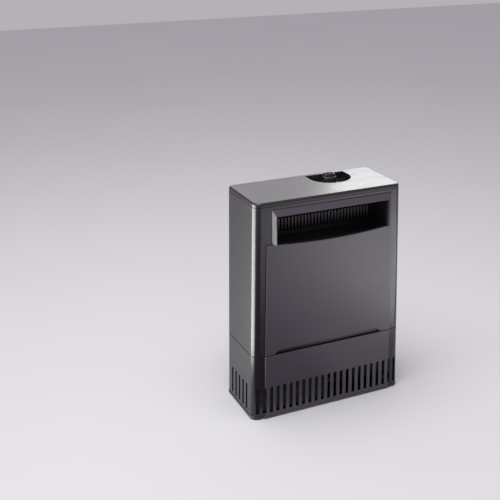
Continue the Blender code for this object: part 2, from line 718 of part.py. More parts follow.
def spill_tray():
    made = block("spill_tray", (TRAY_X[0], TRAY_Y[0], TRAY_Z[0]), (TRAY_X[1], TRAY_Y[1], TRAY_Z[1]),
                 "inner_plastic")
    cut(made, block("tray_hollow", (TRAY_X[0] + TRAY_WALL, TRAY_Y[0] - 0.002, TRAY_Z[0] + TRAY_WALL),
                    (TRAY_X[1] - TRAY_WALL, TRAY_Y[1] + 0.002, TRAY_Z[1] + 0.002)))


def overflow_comb():
    low = (TRAY_X[0] + TRAY_WALL + GAP, COMB_Y[0], TRAY_Z[0] + TRAY_WALL + GAP)
    high = (TRAY_X[1] - TRAY_WALL - GAP, COMB_Y[1], COMB_SILL_Z)
    made = block("overflow_comb", low, high, "shell_plastic")
    form = bmesh.new()
    middle_x = (low[0] + high[0]) / 2
    middle_y = (COMB_Y[0] + COMB_Y[1]) / 2
    foot = COMB_SILL_Z - 0.001
    size = Matrix.Diagonal((TOOTH_WIDTH, COMB_Y[1] - COMB_Y[0] - 0.0006, COMB_TOP - foot, 1))
    for index in range(TOOTH_COUNT):
        x = middle_x + (index - (TOOTH_COUNT - 1) / 2) * TOOTH_PITCH
        spot = Matrix.Translation((x, middle_y, (foot + COMB_TOP) / 2))
        bmesh.ops.create_cube(form, size=1.0, matrix=spot @ size)
    tops = edges_along(form, 1, lambda middle: middle.z > COMB_TOP - GAP)
    round_edges(form, tops, TOOTH_WIDTH * 0.45, 2)
    join(made, object_from("comb_teeth", form, None))


def cable_grommet():
    made = block("cable_grommet", (OUTLET_X[0], BACK_Y - 0.0021, GROMMET_Z[0]),
                 (OUTLET_X[1], BACK_Y + 0.0006, GROMMET_Z[1]), "black_rubber", axis=1, radius=0.0015)
    centre = (sum(OUTLET_X) / 2, CABLE_HOLE_Z)
    cut(made, rod("cable_hole", CABLE_HOLE_R, (0.028, 0.038), centre, "Y", steps=20))


def cup_places():
    return [(side * CUP_X, z) for side in (-1, 1) for z in CUP_HEIGHTS]


def suction_cups():
    inner_face = BACK_Y - WALL
    profile = [(0, CUP_RIM_Y - 0.0045), (0.0080, CUP_RIM_Y - 0.0030), (0.0136, CUP_RIM_Y),
               (CUP_RIM_R, CUP_RIM_Y), (CUP_RIM_R, CUP_RIM_Y - 0.0008), (0.0100, CUP_RIM_Y - 0.0045),
               (0.0055, CUP_RIM_Y - 0.0062), (0.0052, BACK_Y + GAP), (0.0027, BACK_Y + GAP),
               (0.0027, inner_face - GAP), (0.0042, inner_face - GAP), (0.0036, inner_face - 0.0022),
               (0, inner_face - 0.0022)]
    for number, centre in enumerate(cup_places(), start=1):
        turned(f"suction_cup_{number}", profile, centre, "Y", "cup_rubber", 24)


# ---- Lid ----
def pocket_outline(name, radius, low_z, high_z, back):
    """A U in plan: a round front and straight sides to the back."""
    x, y = POCKET_CENTRE
    front = y - radius
    form = cube_form((2 * radius, back - front, high_z - low_z))
    round_edges(form, edges_along(form, 2, lambda middle: middle.y < 0), radius * 0.98, 12)
    return object_from(name, form, None, (x, (front + back) / 2, (low_z + high_z) / 2))


def lid():
    made = outer_solid("lid", LID_Z, BODY_TOP, 0.0, "shell_plastic", LID_ROUND)
    join(made, outer_sleeve("lid_skirt", LID_SKIRT_Z, LID_Z + 0.001, 0.0016, FIT_INSET))
    floor = POCKET_FLOOR - POCKET_WALL
    join(made, pocket_outline("pocket_tub", POCKET_RADIUS + POCKET_WALL, floor, LID_Z + 0.001, 0.0312))
    cut(made, pocket_outline("pocket", POCKET_RADIUS, POCKET_FLOOR, BODY_TOP + 0.002, POCKET_BACK))
    cut(made, rod("stem_hole", STEM_R + 0.0004, (floor - 0.001, POCKET_FLOOR + 0.001), FLOW_AXIS, steps=24))
    notch_low = (OUTLET_X[0] - 0.0007, BACK_Y - 0.0024, LID_Z - 0.002)
    cut(made, block("lid_notch", notch_low, (OUTLET_X[1] + 0.0007, BACK_Y + 0.004, BODY_TOP + 0.002)))


def build():
    clear_scene()
    make_materials()
    base_strainer()
    bottom_cover()
    chamber_floor()
    coarse_foam()
    pump_body()
    pump_end_cap()
    stator_core()
    stator_coil()
    pump_cable_gland()
    pump_cover()
    cover_screws()
    shaft_and_bushes()
    pump_feet()
    rotor()
    riser_seal()
    valve_body()
    valve_barrel()
    valve_rod_and_knob()
    media_basket()
    basket_grid()
    media_pads()
    finger_scoop = scoop()
    main_case(finger_scoop)
    front_panel(finger_scoop)
    outlet_hood()
    spill_tray()
    overflow_comb()
    cable_grommet()
    suction_cups()
    lid()


build()
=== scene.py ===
import json
import math

import bmesh
import bpy
from mathutils import Matrix, Vector, noise


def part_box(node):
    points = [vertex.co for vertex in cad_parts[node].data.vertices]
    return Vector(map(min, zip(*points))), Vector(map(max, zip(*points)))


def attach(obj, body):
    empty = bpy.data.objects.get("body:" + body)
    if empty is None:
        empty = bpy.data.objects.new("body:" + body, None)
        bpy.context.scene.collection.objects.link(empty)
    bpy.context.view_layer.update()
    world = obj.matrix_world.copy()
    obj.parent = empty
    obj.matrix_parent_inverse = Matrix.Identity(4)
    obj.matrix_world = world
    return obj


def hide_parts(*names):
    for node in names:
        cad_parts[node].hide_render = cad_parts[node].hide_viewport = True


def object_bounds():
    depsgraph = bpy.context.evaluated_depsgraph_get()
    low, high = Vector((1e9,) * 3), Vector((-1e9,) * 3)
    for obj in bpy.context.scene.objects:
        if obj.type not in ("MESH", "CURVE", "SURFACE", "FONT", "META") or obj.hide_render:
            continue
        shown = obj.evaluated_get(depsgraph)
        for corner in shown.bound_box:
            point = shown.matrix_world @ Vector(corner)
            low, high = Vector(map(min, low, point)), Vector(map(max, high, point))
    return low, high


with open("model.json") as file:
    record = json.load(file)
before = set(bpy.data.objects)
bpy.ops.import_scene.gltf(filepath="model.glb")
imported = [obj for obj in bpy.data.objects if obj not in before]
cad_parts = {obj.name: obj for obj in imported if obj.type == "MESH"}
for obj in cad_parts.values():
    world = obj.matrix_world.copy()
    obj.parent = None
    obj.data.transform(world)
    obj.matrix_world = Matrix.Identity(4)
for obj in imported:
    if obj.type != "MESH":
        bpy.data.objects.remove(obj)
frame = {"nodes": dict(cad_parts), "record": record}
CAD_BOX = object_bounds()

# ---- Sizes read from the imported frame, in metres ----
BASE_LOW, BASE_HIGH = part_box("base_strainer")
CASE_LOW, CASE_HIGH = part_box("main_case")
PANEL_LOW, PANEL_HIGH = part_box("front_panel")
HOOD_LOW, HOOD_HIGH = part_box("outlet_hood")
TRAY_LOW, TRAY_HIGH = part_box("spill_tray")
COMB_LOW, COMB_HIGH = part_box("overflow_comb")
LID_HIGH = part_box("lid")[1]
KNOB_LOW, KNOB_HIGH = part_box("flow_knob")
GROMMET_LOW, GROMMET_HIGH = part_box("cable_grommet")
COVER_LOW, COVER_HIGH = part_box("bottom_cover")

GAP = 0.0003                 # clearance between touching pieces
WALL = 0.0022
FRONT_Y = CASE_LOW.y
BACK_Y = CASE_HIGH.y
FRONT_CORNER = 0.007
BACK_CORNER = 0.006
SEAM_Z = (BASE_HIGH.z + CASE_LOW.z) / 2

# Intake slots
SLOT_PITCH = 0.007
SLOT_WIDTH = 0.0035
SLOT_LOW = 0.0054
SLOT_HIGH = 0.0332
SLOTS_PER_HALF = 11          # each way from the middle one
SIDE_SLOT_FIRST_Y = -0.0165
SIDE_SLOT_PITCH = 0.009
SIDE_SLOTS = 5

# Spill lip: the arc along the panel's top edge
LIP_RADIUS = 0.600
LIP_MID_Z = 0.1761
LIP_STEPS = 720

# Waterfall window, its hood and the comb
WINDOW_X = (-0.0575, 0.063)
WINDOW_TOP = 0.2094
HOOD_FOOT_Z = 0.172
HOOD_FRONT_X = (-0.0572, 0.0617)
HOOD_FRONT_TOP = 0.2072
HOOD_OPENING_X = (-0.0566, 0.0611)
HOOD_OPENING_TOP = 0.2066
PANEL_BLANK_TOP = 0.190      # before the lip is cut
CUTTER_Y = (-0.045, -0.028)  # cutters pass right through the front wall
TRAY_WALL = 0.002
COMB_SILL_Z = 0.177
TOOTH_PITCH = 0.0036
TOOTH_WIDTH = 0.0018
TOOTH_COUNT = 33

# Deck ledges, cup and cable holes
LEDGE_LOW_Z = 0.0572
LEDGE_INNER_X = 0.0745
LEDGE_Y = (-0.010, 0.014)
CUP_HOLE_R = 0.0031
CABLE_HOLE_R = 0.0036
CABLE_HOLE_Z = 0.2105

# Lid pocket
POCKET_X, POCKET_Y = 0.0245, 0.017
POCKET_RADIUS = 0.021
POCKET_FLOOR = 0.213
POCKET_WALL = 0.002
POCKET_BACK = 0.0285
LID_PLATE_Z = 0.216
LID_ROUND = 0.0022
LID_SKIRT_Z = 0.2132
SKIRT_WALL = 0.0016
SKIRT_INSET = 0.0026
TUB_BACK = 0.0312
DRUM_TOP = 0.2213
DRUM_R = 0.0066
FLOW_X = (KNOB_LOW.x + KNOB_HIGH.x) / 2
FLOW_Y = (KNOB_LOW.y + KNOB_HIGH.y) / 2
STEM_R = 0.0036


# ---- Shape helpers ----
def half_width(height):
    """Half the body's width at a height: the sides lean in by the mould's draft."""
    slope = (BASE_HIGH.x - CASE_HIGH.x) / (BASE_LOW.z - CASE_LOW.z)
    return BASE_HIGH.x + slope * (height - BASE_LOW.z)


def plateau_half(height):
    """Half the width of the raised front, which narrows with the body."""
    return PANEL_HIGH.x + half_width(height) - half_width(PANEL_LOW.z)


def object_from(name, form, location=(0, 0, 0)):
    mesh = bpy.data.meshes.new(name)
    form.to_mesh(mesh)
    form.free()
    made = bpy.data.objects.new(name, mesh)
    made.location = location
    bpy.context.scene.collection.objects.link(made)
    return made


def edges_along(form, axis, choose=None):
    found = []
    for edge in form.edges:
        run = (edge.verts[1].co - edge.verts[0].co).normalized()
        middle = (edge.verts[1].co + edge.verts[0].co) / 2
        if abs(run[axis]) > 0.99 and (choose is None or choose(middle)):
            found.append(edge)
    return found


def round_edges(form, edges, radius, steps):
    if radius > 0:
        bmesh.ops.bevel(form, geom=edges, offset=radius, segments=steps, profile=0.5, affect="EDGES")


def cube_form(size):
    form = bmesh.new()
    bmesh.ops.create_cube(form, size=1.0)
    bmesh.ops.scale(form, vec=size, verts=form.verts)
    return form


def block(name, low, high, axis=2, radius=0.0, steps=6):
    low, high = Vector(low), Vector(high)
    form = cube_form(high - low)
    round_edges(form, edges_along(form, axis), radius, steps)
    return object_from(name, form, (low + high) / 2)


def wedge(name, axis, ends, first, second):
    """A six-sided block whose two end rectangles differ, each as (low, high) pairs on the other axes."""
    across = [other for other in range(3) if other != axis]
    form = cube_form((2, 2, 2))
    for vert in form.verts:
        far = vert.co[axis] > 0
        rectangle = second if far else first
        for place, other in enumerate(across):
            vert.co[other] = rectangle[place][1 if vert.co[other] > 0 else 0]
        vert.co[axis] = ends[1 if far else 0]
    return object_from(name, form)


TURNS = {"X": (0, math.pi / 2, 0), "Y": (-math.pi / 2, 0, 0), "Z": (0, 0, 0)}


def on_axis(axis, along, centre):
    place = list(centre)
    place.insert("XYZ".index(axis), along)
    return Vector(place)


def rod(name, radius, ends, centre, axis="Z", steps=48):
    form = bmesh.new()
    bmesh.ops.create_cone(form, cap_ends=True, segments=steps, radius1=radius, radius2=radius,
                          depth=ends[1] - ends[0])
    made = object_from(name, form, on_axis(axis, sum(ends) / 2, centre))
    made.rotation_euler = TURNS[axis]
    return made


def turned(name, profile, centre, axis="Z", steps=64):
    """A turned solid. The profile's (radius, height) points run from the top down its outer side."""
    form = bmesh.new()
    verts = [form.verts.new((radius, 0, height)) for radius, height in profile]
    for first, second in zip(verts, verts[1:]):
        form.edges.new((first, second))
    made = object_from(name, form, on_axis(axis, 0.0, centre))
    made.rotation_euler = TURNS[axis]
    screw = made.modifiers.new("turn", "SCREW")
    screw.steps = steps
    screw.render_steps = steps
    screw.use_merge_vertices = True
    screw.merge_threshold = 0.00002
    return made


def bake(piece):
    """Keep a piece's evaluated mesh, in the frame's own coordinates, with no modifiers left."""
    bpy.context.view_layer.update()
    graph = bpy.context.evaluated_depsgraph_get()
    mesh = bpy.data.meshes.new_from_object(piece.evaluated_get(graph))
    mesh.transform(piece.matrix_world)
    piece.modifiers.clear()
    piece.data = mesh
    piece.matrix_world = Matrix.Identity(4)
    return piece


def combine(piece, operation, *others):
    for other in others:
        modifier = piece.modifiers.new(other.name, "BOOLEAN")
        modifier.operation = operation
        modifier.object = other
    bake(piece)
    for other in others:
        bpy.data.objects.remove(other, do_unlink=True)
    return piece


def cut(piece, *others):
    return combine(piece, "DIFFERENCE", *others)


def join(piece, *others):
    return combine(piece, "UNION", *others)


def soften(piece, width, segments=3, angle=35, merge_flat=True):
    """Round a piece's sharp edges as a mould does, then shade it smooth."""
    form = bmesh.new()
    form.from_mesh(piece.data)
    bmesh.ops.remove_doubles(form, verts=form.verts, dist=0.000004)
    bmesh.ops.dissolve_degenerate(form, edges=form.edges, dist=0.000004)
    if merge_flat:
        bmesh.ops.dissolve_limit(form, angle_limit=math.radians(0.4), verts=form.verts, edges=form.edges)
    form.to_mesh(piece.data)
    form.free()
    bevel = piece.modifiers.new("edges", "BEVEL")
    bevel.width = width
    bevel.segments = segments
    bevel.limit_method = "ANGLE"
    bevel.angle_limit = math.radians(angle)
    bevel.use_clamp_overlap = True
    bake(piece)
    piece.data.shade_smooth()
    piece.data.set_sharp_from_angle(angle=math.radians(angle + 5))
    weights = piece.modifiers.new("normals", "WEIGHTED_NORMAL")
    weights.keep_sharp = True
    weights.mode = "FACE_AREA_WITH_ANGLE"
    bake(piece)
    return piece


def outer_form(low_z, high_z, inset=0.0, top_round=0.0):
    """The filter's rounded plan between two heights, with the mould draft on its sides."""
    full = BASE_HIGH.x
    form = cube_form((2 * (full - inset), BACK_Y - FRONT_Y - 2 * inset, high_z - low_z))
    shift = Vector((0, (BACK_Y + FRONT_Y) / 2, (low_z + high_z) / 2))
    bmesh.ops.translate(form, vec=shift, verts=form.verts)
    round_edges(form, edges_along(form, 2, lambda middle: middle.y < shift.y), FRONT_CORNER - inset, 16)
    rear = BACK_Y - inset - GAP / 2
    round_edges(form, edges_along(form, 2, lambda middle: middle.y > rear), BACK_CORNER - inset, 8)
    if top_round > 0:
        rim = [edge for edge in form.edges if all(vert.co.z > high_z - GAP / 2 for vert in edge.verts)]
        round_edges(form, rim, top_round, 5)
    for vert in form.verts:
        vert.co.x *= half_width(vert.co.z) / full
    return form


def outer_sleeve(name, low_z, high_z, thickness, inset=0.0):
    form = outer_form(low_z, high_z, inset)
    caps = [face for face in form.faces if abs(face.normal.z) > 0.99]
    bmesh.ops.delete(form, geom=caps, context="FACES_ONLY")
    made = object_from(name, form)
    solidify = made.modifiers.new("wall", "SOLIDIFY")
    solidify.thickness = thickness
    solidify.offset = -1
    solidify.use_even_offset = True
    return bake(made)


def fit(piece, body, slot, look, *nodes):
    """Give a piece its material, the body it moves with and the CAD nodes it stands for."""
    piece.data.materials.clear()
    piece.data.materials.append(look)
    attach(piece, body)
    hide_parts(*nodes)
    return piece


# ---- Materials ----
def node(tree, kind, **settings):
    made = tree.nodes.new(kind)
    for name, value in settings.items():
        setattr(made, name, value)
    return made


def noise_at(tree, place, scale, detail=3.0, roughness=0.55):
    made = node(tree, "ShaderNodeTexNoise")
    made.inputs["Scale"].default_value = scale
    made.inputs["Detail"].default_value = detail
    made.inputs["Roughness"].default_value = roughness
    tree.links.new(place, made.inputs["Vector"])
    return made.outputs["Fac"]


def stretched(tree, place, scale):
    made = node(tree, "ShaderNodeMapping")
    made.inputs["Scale"].default_value = scale
    tree.links.new(place, made.inputs["Vector"])
    return made.outputs["Vector"]


def remap(tree, value, low, high, to_low, to_high):
    made = node(tree, "ShaderNodeMapRange")
    for name, number in (("From Min", low), ("From Max", high), ("To Min", to_low), ("To Max", to_high)):
        made.inputs[name].default_value = number
    tree.links.new(value, made.inputs["Value"])
    return made.outputs["Result"]


def maths(tree, operation, first, second):
    made = node(tree, "ShaderNodeMath", operation=operation)
    for place, value in enumerate((first, second)):
        if isinstance(value, (int, float)):
            made.inputs[place].default_value = value
        else:
            tree.links.new(value, made.inputs[place])
    return made.outputs[0]


def blended(tree, share, first, second):
    made = node(tree, "ShaderNodeMix", data_type="RGBA")
    tree.links.new(share, made.inputs[0])
    for place, value in ((6, first), (7, second)):
        if isinstance(value, tuple):
            made.inputs[place].default_value = (*value, 1.0)
        else:
            tree.links.new(value, made.inputs[place])
    return made.outputs[2]


def bumped(tree, heights):
    """Chain bump nodes; heights are (value, strength, distance) from coarse to fine."""
    normal = None
    for value, strength, distance in heights:
        made = node(tree, "ShaderNodeBump")
        made.inputs["Strength"].default_value = strength
        made.inputs["Distance"].default_value = distance
        tree.links.new(value, made.inputs["Height"])
        if normal is not None:
            tree.links.new(normal, made.inputs["Normal"])
        normal = made.outputs["Normal"]
    return normal


def new_look(name):
    look = bpy.data.materials.new(name)
    look.use_nodes = True
    tree = look.node_tree
    shader = tree.nodes["Principled BSDF"]
    place = node(tree, "ShaderNodeTexCoord").outputs["Object"]
    return look, tree, shader, place


def moulded_plastic(name, colour, tint, roughness, grain=0.03, wear=0.22, paler=None):
    """Injection-moulded plastic: fine spark grain, slow sheen changes, hairline scuffs and rubbed edges. With
    paler given as (axis, start, end, colour, extra roughness), the surface turns to that paler, rougher
    surface between the two places on the axis; on the comb's tooth tips that paler colour is painted light."""
    look, tree, shader, place = new_look(name)
    link = tree.links.new
    slow = noise_at(tree, place, 16.0, 4.0)
    cloud = noise_at(tree, place, 90.0, 5.0)
    speck = noise_at(tree, place, 900.0, 2.0)
    scuff = noise_at(tree, stretched(tree, place, (260.0, 260.0, 9.0)), 1.0, 4.0, 0.7)
    scuff_share = remap(tree, scuff, 0.62, 0.80, 0.0, 1.0)
    edge = node(tree, "ShaderNodeNewGeometry").outputs["Pointiness"]
    rubbed = remap(tree, edge, 0.52, 0.60, 0.0, 1.0)
    rubbed = maths(tree, "MULTIPLY", rubbed, remap(tree, cloud, 0.35, 0.65, 0.15, wear))
    body = blended(tree, remap(tree, slow, 0.3, 0.7, 0.0, 1.0), colour, tint)
    sheen = remap(tree, cloud, 0.25, 0.75, roughness - 0.02, roughness + 0.03)
    if paler:
        axis, start, end, paler_colour, extra = paler
        split = node(tree, "ShaderNodeSeparateXYZ")
        link(place, split.inputs[0])
        share = remap(tree, split.outputs[axis], start, end, 0.0, 1.0)
        body = blended(tree, share, body, paler_colour)
        sheen = maths(tree, "ADD", sheen, maths(tree, "MULTIPLY", share, extra))
    pale = tuple(min(1.0, channel * 2.6 + 0.012) for channel in colour)
    link(blended(tree, rubbed, body, pale), shader.inputs["Base Color"])
    sheen = maths(tree, "ADD", sheen, maths(tree, "MULTIPLY", scuff_share, 0.05))
    sheen = maths(tree, "ADD", sheen, maths(tree, "MULTIPLY", rubbed, 0.10))
    link(sheen, shader.inputs["Roughness"])
    link(bumped(tree, ((cloud, 0.012, 0.0004), (speck, grain, 0.00006))), shader.inputs["Normal"])
    return look


def open_foam(name, colour, dark, pore_scale):
    """Reticulated foam: open cells with fibrous walls, whose throats are painted dark as painted shade inside
    the pores.
    """
    look, tree, shader, place = new_look(name)
    link = tree.links.new
    cells = node(tree, "ShaderNodeTexVoronoi", feature="DISTANCE_TO_EDGE")
    cells.inputs["Scale"].default_value = pore_scale
    link(place, cells.inputs["Vector"])
    wall = remap(tree, cells.outputs["Distance"], 0.02, 0.22, 1.0, 0.0)
    fibres = noise_at(tree, place, pore_scale * 4.0, 4.0, 0.7)
    slow = noise_at(tree, place, 22.0, 3.0)
    lit = blended(tree, remap(tree, slow, 0.3, 0.7, 0.0, 0.35), colour, dark)
    share = maths(tree, "MULTIPLY", wall, remap(tree, fibres, 0.3, 0.7, 0.55, 1.0))
    # Painted shade: away from the cell walls the throats take the dark colour, standing in for shade inside
    # the pores.
    link(blended(tree, share, dark, lit), shader.inputs["Base Color"])
    link(remap(tree, fibres, 0.3, 0.7, 0.85, 1.0), shader.inputs["Roughness"])
    shader.inputs["Sheen Weight"].default_value = 0.25
    shader.inputs["Sheen Roughness"].default_value = 0.6
    link(bumped(tree, ((wall, 0.9, 0.0006), (fibres, 0.5, 0.0002))), shader.inputs["Normal"])
    return look


def felted_floss(name, colour, dark):
    """Bonded polyester floss: crossing fibres over a soft lumpy pad."""
    look, tree, shader, place = new_look(name)
    link = tree.links.new
    along = noise_at(tree, stretched(tree, place, (1500.0, 160.0, 900.0)), 1.0, 4.0, 0.65)
    over = noise_at(tree, stretched(tree, place, (170.0, 1400.0, 700.0)), 1.0, 4.0, 0.65)
    fibres = maths(tree, "MAXIMUM", along, over)
    lumps = noise_at(tree, place, 140.0, 4.0)
    share = remap(tree, fibres, 0.45, 0.72, 0.0, 1.0)
    link(blended(tree, share, dark, colour), shader.inputs["Base Color"])
    link(remap(tree, lumps, 0.3, 0.7, 0.85, 1.0), shader.inputs["Roughness"])
    shader.inputs["Sheen Weight"].default_value = 0.4
    shader.inputs["Subsurface Weight"].default_value = 0.15
    shader.inputs["Subsurface Radius"].default_value = (0.002, 0.002, 0.002)
    link(bumped(tree, ((lumps, 0.5, 0.0008), (fibres, 0.6, 0.0003))), shader.inputs["Normal"])
    return look


def soft_rubber(name, colour, dusty, roughness):
    """Rubber with a matt bloom that gathers in patches."""
    look, tree, shader, place = new_look(name)
    link = tree.links.new
    bloom = noise_at(tree, place, 120.0, 5.0, 0.6)
    speck = noise_at(tree, place, 1400.0, 2.0)
    link(blended(tree, remap(tree, bloom, 0.4, 0.75, 0.0, 1.0), colour, dusty), shader.inputs["Base Color"])
    link(remap(tree, bloom, 0.3, 0.7, roughness - 0.06, roughness + 0.10), shader.inputs["Roughness"])
    link(bumped(tree, ((bloom, 0.08, 0.0003), (speck, 0.12, 0.00005))), shader.inputs["Normal"])
    return look


def clear_rubber(name, colour):
    """The suction cups' smoky PVC, which lets light through."""
    look, tree, shader, place = new_look(name)
    link = tree.links.new
    haze = noise_at(tree, place, 160.0, 4.0)
    link(blended(tree, remap(tree, haze, 0.3, 0.7, 0.0, 1.0), colour,
                 tuple(channel * 0.7 for channel in colour)), shader.inputs["Base Color"])
    link(remap(tree, haze, 0.3, 0.7, 0.16, 0.34), shader.inputs["Roughness"])
    shader.inputs["Transmission Weight"].default_value = 0.55
    shader.inputs["IOR"].default_value = 1.48
    link(bumped(tree, ((haze, 0.06, 0.0003),)), shader.inputs["Normal"])
    return look


def worked_metal(name, colour, dark, roughness, line_scale, line_axis):
    """Metal with fine parallel lines across one axis, as laminations, wire turns or turning marks."""
    look, tree, shader, place = new_look(name)
    link = tree.links.new
    lines = node(tree, "ShaderNodeTexWave", bands_direction=line_axis)
    lines.inputs["Scale"].default_value = line_scale
    lines.inputs["Distortion"].default_value = 0.4
    link(place, lines.inputs["Vector"])
    cloud = noise_at(tree, place, 260.0, 4.0)
    shade = remap(tree, lines.outputs["Fac"], 0.0, 0.35, 1.0, 0.0)
    link(blended(tree, shade, colour, dark), shader.inputs["Base Color"])
    link(remap(tree, cloud, 0.3, 0.7, roughness - 0.08, roughness + 0.10), shader.inputs["Roughness"])
    shader.inputs["Metallic"].default_value = 1.0
    link(bumped(tree, ((lines.outputs["Fac"], 0.5, 0.0001), (cloud, 0.05, 0.0001))), shader.inputs["Normal"])
    return look


def fired_ceramic(name, colour, tint, roughness):
    look, tree, shader, place = new_look(name)
    link = tree.links.new
    cloud = noise_at(tree, place, 300.0, 5.0)
    speck = noise_at(tree, place, 2500.0, 2.0)
    link(blended(tree, remap(tree, cloud, 0.35, 0.7, 0.0, 1.0), colour, tint), shader.inputs["Base Color"])
    link(remap(tree, speck, 0.3, 0.7, roughness - 0.04, roughness + 0.10), shader.inputs["Roughness"])
    link(bumped(tree, ((speck, 0.10, 0.00004),)), shader.inputs["Normal"])
    return look


# What stands in front of the case's wall has a paler, finer texture. The comb's tooth tips are painted paler
# towards their tops: painted light, as where light falls on them from above.
RAISED_FINISH = ("Y", FRONT_Y - 0.0004, FRONT_Y - 0.0010, (0.060, 0.051, 0.068), 0.14)
TOOTH_TIP_PAINTED_LIGHT = ("Z", 0.1785, 0.1885, (0.24, 0.22, 0.24), 0.04)

LOOKS = {
    "shell_plastic": moulded_plastic("shell_plastic_look", (0.020, 0.0155, 0.0195), (0.016, 0.013, 0.016),
                                     0.24, paler=RAISED_FINISH),
    "knob_plastic": moulded_plastic("knob_plastic_look", (0.024, 0.021, 0.024), (0.018, 0.016, 0.018), 0.34),
    "inner_plastic": moulded_plastic("inner_plastic_look", (0.010, 0.010, 0.011), (0.014, 0.014, 0.015),
                                     0.48),
    "pump_plastic": moulded_plastic("pump_plastic_look", (0.012, 0.012, 0.014), (0.009, 0.009, 0.010), 0.36),
    "coarse_foam": open_foam("coarse_foam_look", (0.022, 0.023, 0.026), (0.003, 0.003, 0.004), 620.0),
    "fine_foam": felted_floss("fine_floss_look", (0.78, 0.80, 0.78), (0.42, 0.46, 0.46)),
    "carbon_pad": open_foam("carbon_pad_look", (0.030, 0.030, 0.031), (0.004, 0.004, 0.004), 800.0),
    "black_rubber": soft_rubber("black_rubber_look", (0.010, 0.010, 0.010), (0.022, 0.021, 0.020), 0.62),
    "cup_rubber": clear_rubber("cup_rubber_look", (0.42, 0.46, 0.46)),
    "steel": worked_metal("steel_look", (0.60, 0.60, 0.61), (0.38, 0.38, 0.39), 0.28, 900.0, "X"),
    "lamination_steel": worked_metal("lamination_look", (0.34, 0.34, 0.36), (0.08, 0.08, 0.09), 0.45,
                                     700.0, "X"),
    "copper_winding": worked_metal("winding_look", (0.78, 0.36, 0.18), (0.22, 0.08, 0.04), 0.32, 620.0, "Y"),
    "ferrite": fired_ceramic("ferrite_look", (0.045, 0.043, 0.045), (0.030, 0.029, 0.031), 0.55),
    "ceramic": fired_ceramic("ceramic_look", (0.84, 0.83, 0.78), (0.76, 0.74, 0.68), 0.22),
}


# The comb's look carries painted light: its tooth tips turn paler towards their tops.
COMB_LOOK = moulded_plastic("comb_look", (0.012, 0.010, 0.012), (0.010, 0.009, 0.010), 0.34,
                            paler=TOOTH_TIP_PAINTED_LIGHT)


# ---- Base ----
PLATEAU_FOOT = plateau_half(BASE_LOW.z)
PLATEAU_FALL = 0.0009


def plan_outline():
    """(length of half the outline, function from a signed distance along it to place and outward direction).
    The distance starts at the middle of the front and grows both ways round to the middle of the back."""
    full = BASE_HIGH.x
    front = full - FRONT_CORNER
    front_arc = FRONT_CORNER * math.pi / 2
    side = BACK_Y - FRONT_Y - FRONT_CORNER - BACK_CORNER
    back_arc = BACK_CORNER * math.pi / 2
    back = full - BACK_CORNER
    stops = [front, front + front_arc, front + front_arc + side, front + front_arc + side + back_arc]

    def at(distance):
        sign = 1 if distance >= 0 else -1
        run = abs(distance)
        if run <= stops[0]:
            place, out = Vector((run, FRONT_Y)), Vector((0, -1))
        elif run <= stops[1]:
            angle = (run - stops[0]) / FRONT_CORNER
            out = Vector((math.sin(angle), -math.cos(angle)))
            place = Vector((front, FRONT_Y + FRONT_CORNER)) + FRONT_CORNER * out
        elif run <= stops[2]:
            place, out = Vector((full, FRONT_Y + FRONT_CORNER + run - stops[1])), Vector((1, 0))
        elif run <= stops[3]:
            angle = (run - stops[2]) / BACK_CORNER
            out = Vector((math.cos(angle), math.sin(angle)))
            place = Vector((full - BACK_CORNER, BACK_Y - BACK_CORNER)) + BACK_CORNER * out
        else:
            place, out = Vector((back - (run - stops[3]), BACK_Y)), Vector((0, 1))
        return Vector((sign * place.x, place.y)), Vector((sign * out.x, out.y))

    return stops, stops[3] + back, at


def plateau_rise(distance):
    """How far the front plateau stands out at a distance from the middle: flat, then a rounded fall."""
    share = min(1.0, max(0.0, (abs(distance) - (PLATEAU_FOOT - PLATEAU_FALL)) / PLATEAU_FALL))
    return (FRONT_Y - PANEL_LOW.y) * (1 - share * share * (3 - 2 * share))


def slot_edges():
    """Where each slot starts and ends along the outline, outwards from the middle of the front."""
    side_start = BASE_HIGH.x - FRONT_CORNER + FRONT_CORNER * math.pi / 2 - (FRONT_Y + FRONT_CORNER)
    centres = [SLOT_PITCH * index for index in range(SLOTS_PER_HALF + 1)]
    centres += [side_start + SIDE_SLOT_FIRST_Y + SIDE_SLOT_PITCH * index for index in range(SIDE_SLOTS)]
    return [(max(0.0, centre - SLOT_WIDTH / 2), centre + SLOT_WIDTH / 2) for centre in centres]


def outline_columns(stops, half):
    """Distances at which the strainer's wall is divided: slot edges, and closer round the corners."""
    columns = {0.0, half}
    for pair in slot_edges():
        columns.update(pair)
    fall_steps = 6
    for step in range(fall_steps + 1):
        columns.add(PLATEAU_FOOT - PLATEAU_FALL * step / fall_steps)
    columns.update(stops)
    ordered = sorted(columns)
    filled = []
    for first, second in zip(ordered, ordered[1:]):
        middle = (first + second) / 2
        in_front_corner = stops[0] < middle < stops[1]
        in_back_corner = stops[2] < middle < stops[3]
        spacing = 0.0009 if in_front_corner or in_back_corner else 0.006
        count = max(1, math.ceil((second - first) / spacing - 0.01))
        filled += [first + (second - first) * step / count for step in range(count)]
    filled.append(half)
    return filled


